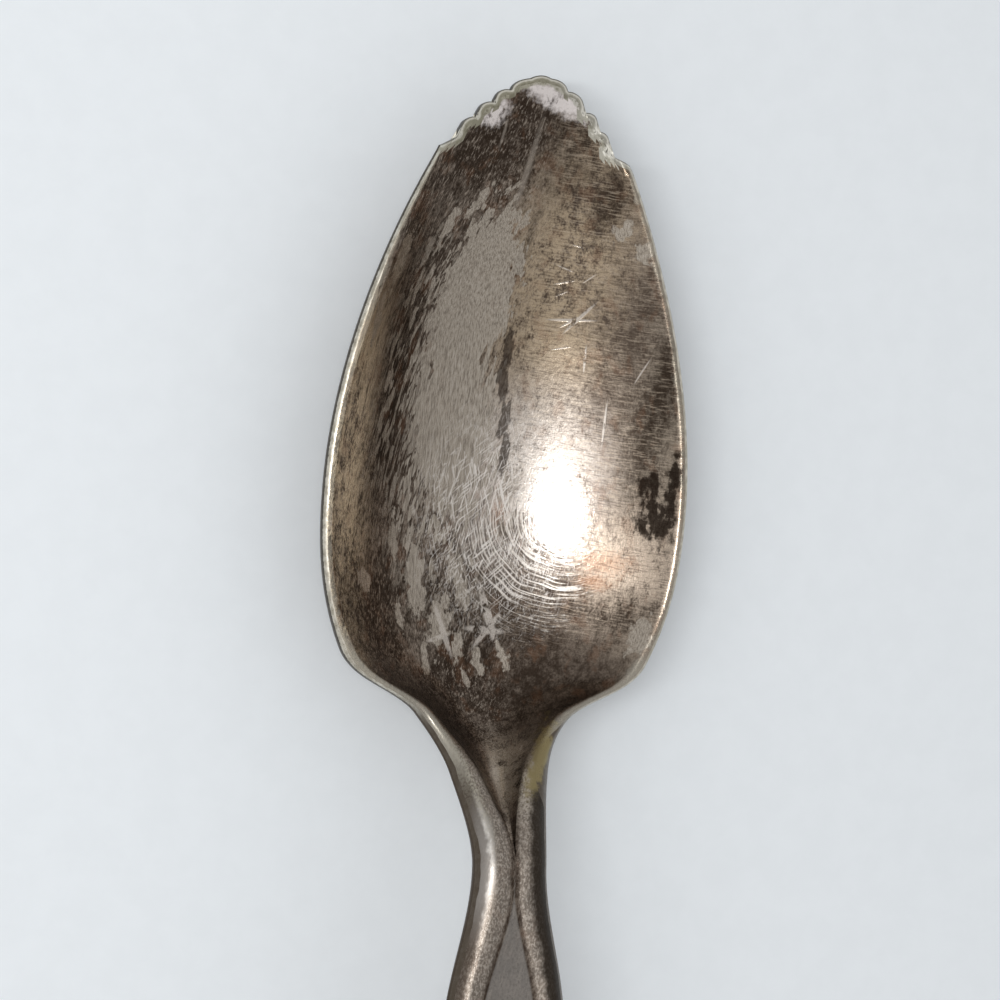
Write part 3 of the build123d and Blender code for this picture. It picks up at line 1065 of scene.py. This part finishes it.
class FaceSilver(TarnishedSilver):
    """The silver of the face, rubbed paler in the left of the bowl and scratched in circles low in it, with
    painted highlights, reflections and shade where the lamps and the room would show in it.
    """

    warm = Zone("warm", Rag.SPECK, 0.8, 0.3, (Mark(4.6, 15.5, 4.2, 11.0, -4.0),))
    # Painted highlight: the glow round the lamp's hot spot low in the bowl
    painted_hot_spot_glow = Zone("painted_hot_spot_glow", Rag.SPECK, 0.9, 0.2, (Mark(3.8, 33.2, 4.6, 6.2),))
    # Painted reflection: the low right wall paled where it would mirror a bright room
    painted_wall_reflection = Zone("painted_wall_reflection", Rag.SPECK, 0.8, 0.4, (Mark(11.6, 40.6, 2.8, 4.6, -14.0),))
    polished = Zone("polished", Rag.FLAKE, 0.02, 0.36, (Mark(-2.7, 19.4, 3.4, 9.0, -12.0),))
    polished_low = Zone("polished_low", Rag.FLAKE, 0.08, 0.7, (Mark(-3.2, 28.0, 3.8, 7.0, 2.0),))
    faint = Zone("faint", Rag.FINE, 0.5, 0.3, (
        Mark(0.0, 7.6, 0.24, 3.6, -7.0), Mark(-2.7, 4.9, 0.12, 1.2, -8.0),
    ))
    flaked = Zone("flaked", Rag.SPECK, 0.45, 0.2, (
        Mark(-8.2, 23.0, 2.2, 10.0, -10.0), Mark(-2.6, 35.5, 6.2, 8.0, 4.0),
    ))
    chips = Zone("chips", Rag.MOTTLE, 0.15, 0.9, (
        Mark(-5.6, 41.8, 0.8, 2.8, 4.0), Mark(-3.2, 45.6, 0.9, 2.2, -14.0), Mark(0.3, 48.5, 0.5, 1.2, 12.0),
        Mark(-6.0, 12.4, 0.4, 1.9, -30.0), Mark(-3.6, 10.2, 0.35, 1.6, -30.0),
        Mark(-10.6, 16.0, 0.45, 2.3, -14.0), Mark(12.7, 45.4, 0.7, 1.6, -22.0), Mark(8.6, 12.0, 0.7, 0.8),
        Mark(10.4, 13.6, 0.6, 1.0, -20.0), Mark(-7.9, 38.8, 0.5, 1.8, 6.0), Mark(-1.2, 42.6, 0.5, 1.6, 10.0),
        Mark(-7.2, 45.0, 0.4, 1.0, 20.0), Mark(-11.0, 42.0, 0.5, 1.3, 16.0),
        Mark(-12.2, 21.0, 0.4, 2.0, -8.0), Mark(-1.4, 47.4, 0.4, 1.2, -10.0), Mark(2.6, 48.0, 0.4, 1.1, 15.0),
        Mark(-4.6, 48.6, 0.35, 1.1, 8.0), Mark(-0.8, 50.0, 0.3, 0.8, 20.0),
    ))
    dark_places = Zone("dark_places", Rag.SPECK, 0.7, 0.4, (
        Mark(0.0, 4.6, 8.5, 4.4), Mark(-7.2, 10.3, 4.9, 7.0, -22.0), Mark(-8.0, 44.5, 6.5, 5.5, 10.0),
        Mark(1.0, 48.2, 9.0, 5.0), Mark(-9.4, 25.0, 1.7, 12.0, -7.0), Mark(13.4, 24.0, 1.2, 8.0, -8.0),
        Mark(7.4, 9.0, 1.4, 3.0, -14.0), Mark(1.0, 14.6, 0.35, 4.0, -11.0), Mark(8.0, 43.0, 2.2, 2.6),
        Mark(11.0, 43.8, 2.6, 2.2),
    ))
    dark_streaks = Zone("dark_streaks", Rag.FLAKE, 0.12, 0.5, (
        Mark(1.25, 22.0, 0.42, 1.7), Mark(1.05, 24.8, 0.44, 1.9, 6.0), Mark(1.7, 28.0, 0.44, 1.9, -14.0),
        Mark(1.95, 31.0, 0.36, 1.9, -3.0),
    ))
    orange = Zone("orange", Rag.SPECK, 0.7, 0.6, (
        Mark(1.9, 35.8, 0.6, 1.8), Mark(10.4, 39.6, 1.6, 0.9), Mark(9.6, 41.2, 1.2, 0.6),
    ))
    blotches = Zone("blotches", Rag.MOTTLE, 0.3, 0.75, (
        Mark(13.6, 35.7, 1.15, 1.9, 4.0), Mark(13.1, 32.8, 0.8, 1.3), Mark(14.8, 31.3, 0.5, 1.6),
        Mark(14.3, 34.0, 0.5, 1.8),
    ))
    rubbed_tip = Zone("rubbed_tip", Rag.SPECK, 0.5, 0.45, (
        Mark(1.3, 1.7, 3.4, 0.85, -22.0), Mark(-3.9, 3.4, 1.4, 0.9, 42.0),
    ))
    scuffed = Zone("scuffed", Rag.SPECK, 0.7, 0.3, (Mark(1.4, 36.5, 5.4, 7.0),))
    ringed = Zone("ringed", Rag.SPECK, 0.6, 0.4, (Mark(3.8, 39.8, 4.2, 4.6), Mark(6.0, 41.4, 2.4, 2.4)))
    # Painted highlight: the bright streak of the lamp along the left strand of the neck
    painted_strand_highlight = Zone("painted_strand_highlight", Rag.FINE, 0.7, 0.3, (
        Mark(-2.45, 62.4, 0.5, 2.6, 6.0), Mark(-2.62, 65.2, 0.5, 3.4, -8.0),
    ))
    grey_strand = Zone("grey_strand", Rag.FINE, 0.8, 0.4, (Mark(-3.5, 57.6, 0.7, 3.6, 20.0),))
    patch = Zone("patch", Rag.MOTTLE, 0.4, 0.6, (Mark(3.45, 55.8, 0.62, 2.8, -28.8),))
    scratches = (
        Stroke(3.6, 19.5, 8.2, 19.3, 0.3), Stroke(5.3, 20.8, 7.8, 17.6, 0.36),
        Stroke(5.0, 20.2, 6.8, 18.9, 0.24), Stroke(7.4, 21.2, 7.5, 23.9, 0.24),
        Stroke(11.1, 24.6, 12.1, 22.0, 0.16), Stroke(9.5, 30.2, 9.5, 25.6, 0.22),
        Stroke(-3.9, 43.4, -1.8, 48.8, 0.7),
        Stroke(-1.2, 45.8, 3.0, 46.0, 0.8), Stroke(0.2, 41.4, 2.2, 47.8, 0.9),
        Stroke(-4.6, 47.2, -1.8, 46.2, 0.5), Stroke(-0.4, 47.8, 2.8, 43.8, 0.6),
        Stroke(2.7, 54.8, 2.3, 55.4, 0.1), Stroke(4.6, 22.0, 6.4, 21.6, 0.14),
        Stroke(3.9, 16.6, 5.9, 16.1, 0.16), Stroke(4.3, 17.6, 5.4, 17.0, 0.14),
        Stroke(3.9, 14.9, 5.6, 15.5, 0.14), Stroke(6.2, 16.4, 7.3, 15.4, 0.12),
        Stroke(4.9, 13.2, 6.1, 13.5, 0.12),
    )

    def __init__(self) -> None:
        """Lay out the finish."""
        super().__init__("silver_plate_scoured_and_tarnished")
        self.lit = (self.tone, 0.38, 0.54)
        self.scratched = self.strokes(self.mottle, *self.scratches)
        self.strand = self.cover((self.crease, 0.0, 0.5), self.stem)
        colour = self.edges(self.neck(self.wear(self.tarnish())))
        roughness = self.weigh(0.16, (self.burnish, 1.0), (self.strand, 0.18))
        relief = self.weigh(self.fine, (self.slant, 0.6), (self.speck, 1.2), (self.scratched, -0.8))
        self.metal(colour, roughness, relief, depth=0.01)

    def tarnish(self) -> Socket:
        """Colour of the tarnish, warm on the bowl's right and dark at its tip and heel.

        Painted reflections make the bowl's walls cream and pale, and a painted glow lies round the hot spot.
        """
        colour = self.paint(
            "#4c4037",
            ("#93867a", 1.0, (self.tone, 0.41, 0.59)),
            # Painted reflections: the left wall cream and the right wall paler, where they would mirror the
            # bright room round the spoon
            ("#f0dfc2", 0.9, (self.across, -9.5, -13.5), (self.station, 14.0, 26.0), self.lit),
            ("#c4b7a5", 0.75, (self.across, 9.0, 14.0), self.lit),
            ("#74675c", 0.45, (self.across, 2.0, 6.0)),
            ("#c2ae93", 0.85, self.warm, self.lit),
            # Painted highlight: a near-white glow round the hot spot
            ("#f6ebe1", 0.95, self.painted_hot_spot_glow, (self.tone, 0.34, 0.5)),
            # Painted reflection on the low right wall
            ("#e8d4c0", 0.9, self.painted_wall_reflection, self.lit),
            ("#362c24", 0.9, self.dark_places, (self.tone, 0.74, 0.44)),
            ("#b0764c", 0.4, self.orange),
        )
        return self.scoured(colour, self.cover((self.across, 4.5, -1.0)))

    def wear(self, colour: Socket) -> Socket:
        """Lay the polish, the scouring, the scratches and the black blotch over the tarnish, with the
        scratches round the hot spot painted bright as glints.
        """
        lines = self.grain(1.2, 0.12, 2.0, -6.0, 9.0)
        right = self.cover((self.across, 0.5, 4.0), (self.station, 49.0, 44.0))
        flakes = self.cover(self.flaked, (self.flake, 0.53, 0.56))
        whole = (self.zone(zone) for zone in (self.polished, self.polished_low, self.chips))
        polish = self.join(flakes, *whole)
        rings, gaps = self.swirl_glints(7.4, 35.8)
        return self.paint(
            colour,
            ("#c2b29f", 0.4, right, (lines, 0.52, 0.66)),
            ("#41362d", 0.4, right, (lines, 0.48, 0.36)),
            ("#b3a99c", 0.85, polish),
            ("#cfc6bb", 0.45, polish, (self.brushing, 0.52, 0.62)),
            ("#6b6157", 0.55, polish, (self.brushing, 0.48, 0.38)),
            ("#3b312a", 0.75, self.dark_streaks),
            ("#f4ece9", 0.95, self.rubbed_tip, (self.mottle, 0.32, 0.48)),
            ("#261d17", 0.92, self.blotches, (self.mottle, 0.7, 0.5)),
            ("#453a32", 0.7, gaps),
            # Painted highlights: the circular scouring lines round the hot spot drawn bright as glints
            ("#f4ece3", 0.9, rings),
            # Painted highlights: real short scratches by the hot spot, drawn bright as glints
            ("#f7f0e9", 0.9, self.scuff_glints()),
            ("#a99f94", 0.5, self.faint),
            ("#d6cdc4", 0.7, self.scratched),
        )

    def neck(self, colour: Socket) -> Socket:
        """Lay the throat, the border strands, their grooves and the sunk panel over the tarnish.

        The throat is lightened with painted bounce light, the left strand carries a painted highlight, and
        the right strand's outer half carries painted shade.
        """
        throat = self.cover((self.station, 53.0, 57.5), (self.station, 62.0, 58.0), (self.across, -0.6, 1.0))
        panel = self.cover((self.crease, -0.05, -0.2), (self.station, 64.0, 66.0))
        groove = self.cover(
            (self.crease, -0.3, -0.02), (self.crease, 0.4, 0.04), self.stem, (self.station, 141.0, 134.0))
        outside = self.weigh(self.edge, (self.mottle, 0.9))
        heel = self.cover((self.station, 45.5, 48.5), (self.station, 59.0, 55.0), (outside, 1.9, 1.2))
        return self.paint(
            colour,
            # Painted bounce light: the throat's V lightened where it would lie in shade
            ("#e6dbcb", 0.9, throat, self.lit),
            ("#a0978d", 0.55, self.strand),
            ("#cdc4ba", 0.45, self.strand, (self.fine, 0.5, 0.62)),
            ("#675d54", 0.45, self.strand, (self.fine, 0.47, 0.37)),
            ("#bdbaa9", 0.7, self.grey_strand, (self.fine, 0.4, 0.52)),
            # Painted highlight along the left strand
            ("#fbf7f1", 0.9, self.painted_strand_highlight),
            ("#96918c", 0.75, panel),
            ("#6a645e", 0.35, panel, (self.fine, 0.46, 0.36)),
            ("#3b322b", 0.45, groove),
            ("#493e35", 0.75, self.stem, (outside, 1.6, 1.1)),
            # Painted shade: the right strand's outer half darkened, where it faces away from the light
            ("#302922", 0.9, self.stem, (self.across, 0.2, 0.8), (outside, 2.5, 1.8)),
            ("#c4bfb2", 0.55, heel),
        )

    def edges(self, colour: Socket) -> Socket:
        """Lay the deposit's thin edge by the rim, the worn patch and the teeth over the rest, with a painted
        highlight on the right teeth.
        """
        by_rim = (self.weigh(self.edge, (self.mottle, 1.6)), 1.5, 1.1)
        tip = self.cover((self.weigh(self.tip, (self.mottle, 1.0)), 1.4, 1.2), (self.station, 6.3, 5.6))
        return self.paint(
            colour,
            ("#b5ad9e", 0.6, by_rim, (self.station, 53.0, 50.0)),
            ("#a3956c", 0.75, self.patch),
            ("#b3af9d", 0.85, tip),
            # Painted highlight: the teeth lighter on the right, where the light catches them
            ("#dedbd3", 0.7, tip, (self.across, 0.0, 3.0)),
            ("#6f6a58", 0.55, tip, (self.fine, 0.5, 0.38)),
        )

    def scuff_glints(self) -> Socket:
        """Mask of the short crossing scratches round the middle of the bowl, by the hot spot, painted bright
        as glints.
        """
        sets = []
        for turn, shift in ((-16.0, 21.0), (14.0, 23.0), (-48.0, 27.0)):
            sets.append(self.cover((self.grain(0.12, 3.0, 1.0, turn, shift), 0.6, 0.66)))
        return self.cover(self.join(*sets), self.scuffed)

    def swirl_glints(self, x: float, station: float) -> tuple[Socket, Socket]:
        """Masks of the circular scouring lines low in the bowl, centred by the lamp's hot spot, their bright
        lines painted glints.

        Args:
            x: Centre of the circles across the spoon, in millimetres.
            station: Station of the centre.

        Returns:
            A mask of the bright lines, which are painted glints, and one of the darker metal between them.
        """
        centred = self.add("ShaderNodeMapping", {
            "Vector": self.place, "Location": (x, SPOON_MIDDLE - station, 0.0), "Scale": (1.0, 1.0, FLAT)},
            vector_type="TEXTURE")
        away = self.add("ShaderNodeVectorMath", {0: centred}, "Value", operation="LENGTH")
        part_x = self.add("ShaderNodeSeparateXYZ", {0: centred}, "X")
        part_y = self.add("ShaderNodeSeparateXYZ", {0: centred}, "Y")
        bearing = self.add("ShaderNodeMath", {0: part_y, 1: part_x}, operation="ARCTAN2")
        # Lines about 0.3 mm apart, each broken into arcs of about a quarter of a turn
        warped = self.weigh(0.0, (away, 1 / 0.15), (self.cloud, 12.0))
        arcs = self.weigh(0.0, (bearing, 1.6))
        spread = self.add("ShaderNodeCombineXYZ", {0: warped, 1: arcs})
        lines = self.add("ShaderNodeTexNoise", {
            "Vector": spread, "Scale": 1.0, "Detail": 2.0, "Roughness": 0.5})
        ringed = self.cover(self.ringed, (away, 1.8, 3.4))
        return self.cover(ringed, (lines, 0.54, 0.6)), self.cover(ringed, (lines, 0.5, 0.42))


class BackSilver(TarnishedSilver):
    """The silver of the back: evenly tarnished, rubbed brighter down the middle and scratched lengthwise."""

    rubbed = Zone("rubbed", Rag.MOTTLE, 0.8, 0.4, (Mark(0.0, 34.0, 8.0, 16.0), Mark(0.0, 140.0, 5.0, 14.0)))
    worn = Zone("worn", Rag.MOTTLE, 0.2, 0.5, (Mark(0.0, 34.65, 3.9, 7.2), Mark(0.0, 145.0, 5.2, 7.0)))

    def __init__(self) -> None:
        """Lay out the finish."""
        super().__init__("silver_plate_rubbed_and_tarnished")
        rubbed = self.zone(self.rubbed)
        colour = self.paint(
            "#54483e",
            ("#998c7e", 1.0, (self.tone, 0.41, 0.59)),
            ("#b5aca1", 0.75, rubbed, (self.tone, 0.36, 0.56)),
        )
        colour = self.paint(
            self.scoured(colour, rubbed),
            ("#c2b9af", 0.6, (self.brushing, 0.58, 0.68)),
            ("#54493e", 0.5, (self.edge, 1.4, 0.3)),
            ("#bcb4a4", 0.9, self.worn),
        )
        roughness = self.weigh(0.18, (self.burnish, 1.0))
        relief = self.weigh(self.fine, (self.slant, 0.6), (self.brushing, 0.6), (self.speck, 0.6))
        self.metal(colour, roughness, relief, depth=0.008)


class NickelSilver(WornMetal):
    """Struck nickel silver, laid bare and worn smooth where the deposit has gone.

    The eye sees a pale yellowish metal: grey cream along the bowl's rim, greenish at the filed teeth, brassy
    in the worn place on the border, and dark brown on the outer edge. The teeth carry a painted highlight on
    their right and round each lobe, and painted shade in a thin line at the very edge.
    """

    patch = FaceSilver.patch

    def __init__(self) -> None:
        """Lay out the finish."""
        super().__init__("nickel_silver_struck_and_worn")
        mottle = self.grain(0.5, 0.8, 4.0)
        fine = self.grain(0.14, 0.2, 2.0, shift=4.0)
        self.rags = {Rag.MOTTLE: mottle}
        under, tooth = (
            self.add("ShaderNodeAttribute", {}, "Fac", attribute_name=label)
            for label in ("under", "tooth_mm"))
        outer_wall = (under, 0.95, 0.7)
        teeth = self.cover((self.station, 8.0, 5.5))
        colour = self.paint(
            "#b5ae9f",
            ("#d8d2c5", 1.0, (mottle, 0.4, 0.62)),
            ("#bab6a4", 0.9, teeth),
            # Painted highlight: the teeth lighter on the right, where the light catches them
            ("#dedbd3", 0.7, teeth, (self.across, 0.0, 3.0)),
            ("#7d7966", 0.5, teeth, (mottle, 0.5, 0.4)),
            ("#67624e", 0.45, teeth, (self.weigh(tooth, (mottle, 0.8)), 0.6, 0.74)),
            # Painted highlight: a bright ring just inside each tooth's edge
            ("#ebe8de", 0.7, teeth, (tooth, 0.26, 0.16)),
            # Painted shade: a thin dark line at the very edge of each tooth
            ("#3f3b2e", 0.9, teeth, (tooth, 0.12, 0.04)),
            ("#332c26", 0.9, outer_wall, (self.weigh(under, (fine, 0.6)), 0.4, 0.7)),
            ("#4e4339", 0.92, outer_wall, (self.station, 50.5, 54.0)),
            ("#a3956c", 0.75, self.patch),
        )
        roughness = self.weigh(0.1, (fine, 0.5))
        relief = self.weigh(fine, (mottle, 1.5))
        self.metal(colour, roughness, relief, depth=0.008)


@dataclass(frozen=True)
class Floor:
    """A plain pale sheet of paper under the spoon, in millimetres.

    The eye sees a matt sheet, nearly white and a little cold, with hardly a fleck in it.
    """

    size: float = 900.0
    colour: str = "#f0f5f9"
    fleck_colour: str = "#c9ced2"
    fleck_size: float = 3.0

    def build(self) -> bpy.types.Object:
        """Make the sheet.

        Returns:
            The floor.
        """
        half = self.size / 2 * MM
        corners = [(-half, -half, 0.0), (half, -half, 0.0), (half, half, 0.0), (-half, half, 0.0)]
        mesh = bpy.data.meshes.new("floor")
        mesh.from_pydata(corners, [], [(0, 1, 2, 3)])
        floor = bpy.data.objects.new("floor", mesh)
        bpy.context.scene.collection.objects.link(floor)
        paper = Finish("paper_matt_pale")
        flecks = paper.grain(self.fleck_size, self.fleck_size, 3.0)
        colour = paper.paint(self.colour, (self.fleck_colour, 0.06, (flecks, 0.3, 0.7)))
        shader = paper.add("ShaderNodeBsdfPrincipled", {"Base Color": colour, "Roughness": 0.9})
        paper.add("ShaderNodeOutputMaterial", {"Surface": shader})
        mesh.materials.append(paper.material)
        return floor


@dataclass(frozen=True)
class Lamp:
    """A flat soft lamp: its place, what it points at and its sides in millimetres, and its power in watts."""

    name: str
    place: tuple[float, float, float]
    target: tuple[float, float, float]
    sides: tuple[float, float]
    power: float

    def build(self) -> None:
        """Hang the lamp."""
        data = bpy.data.lights.new(self.name, "AREA")
        data.shape = "RECTANGLE"
        data.size, data.size_y = (side * MM for side in self.sides)
        data.energy = self.power
        lamp = bpy.data.objects.new(self.name, data)
        lamp.location = Vector(self.place) * MM
        lamp.rotation_euler = (Vector(self.target) - Vector(self.place)).to_track_quat("-Z", "Y").to_euler()
        bpy.context.scene.collection.objects.link(lamp)


@dataclass(frozen=True)
class Studio:
    """Soft light all round, the lamps, and the camera over the bowl, in millimetres and degrees."""

    lean: float = 19.738
    roll: float = 4.128
    distance: float = 260.0
    target: tuple[float, float, float] = (0.0, 41.35, 8.5)
    aim_shift: tuple[float, float] = (-0.658, -0.199)
    lens: float = 113.88
    sensor_width: float = 36.0
    nearest: float = 10.0
    air_colour: str = "#ffffff"
    air_strength: float = 0.6
    lamps: tuple[Lamp, ...] = (
        Lamp("softbox_by_window", (-350.0, 60.0, 420.0), (0.0, 30.0, 0.0), (300.0, 300.0), 0.35),
        Lamp("strip_by_camera", (-122.0, 47.0, 245.0), (0.0, 41.0, 0.0), (14.0, 105.0), 0.17),
    )

    def build(self) -> None:
        """Set up the air, the lamps and the camera."""
        scene = bpy.context.scene
        world = bpy.data.worlds.new("soft_air")
        world.use_nodes = True
        air = world.node_tree.nodes["Background"]
        air.inputs["Color"].default_value = linear(self.air_colour)
        air.inputs["Strength"].default_value = self.air_strength
        scene.world = world
        for lamp in self.lamps:
            lamp.build()
        data = bpy.data.cameras.new("camera")
        data.lens = self.lens
        data.sensor_width = self.sensor_width
        data.clip_start = self.nearest * MM
        camera = bpy.data.objects.new("camera", data)
        lean, roll = math.radians(self.lean), math.radians(self.roll)
        back = Vector((-math.sin(lean), 0.0, math.cos(lean)))
        level = Vector((math.cos(lean), 0.0, math.sin(lean)))
        ahead = Vector((0.0, 1.0, 0.0))
        right = math.cos(roll) * level + math.sin(roll) * ahead
        up = -math.sin(roll) * level + math.cos(roll) * ahead
        shift = right * self.aim_shift[0] + up * self.aim_shift[1]
        place = Vector(self.target) + back * self.distance + shift
        camera.matrix_world = Matrix.Translation(place * MM) @ Matrix((right, up, back)).transposed().to_4x4()
        scene.collection.objects.link(camera)
        scene.camera = camera
        scene.view_settings.view_transform = "Standard"


def main() -> None:
    """Build the spoon, dress it, and set up the studio."""
    logging.basicConfig(level=logging.INFO)
    spoon = StruckSpoon()
    pieces = spoon.build(FaceSilver.zones() + BackSilver.zones() + NickelSilver.zones())
    finishes = {
        "blank": (NickelSilver(), "nickel_silver"),
        "front_plate": (FaceSilver(), "silver_face"),
        "back_plate": (BackSilver(), "silver_back"),
    }
    for node, piece in pieces.items():
        finish, slot = finishes[node]
        piece.data.materials.append(finish.material)
        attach(piece, "root")
        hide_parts(node)
        log.info("%s replaces %s, finish %s", piece.name, node, finish.material.name)
    Floor().build()
    Studio().build()


if __name__ == "__main__":
    main()
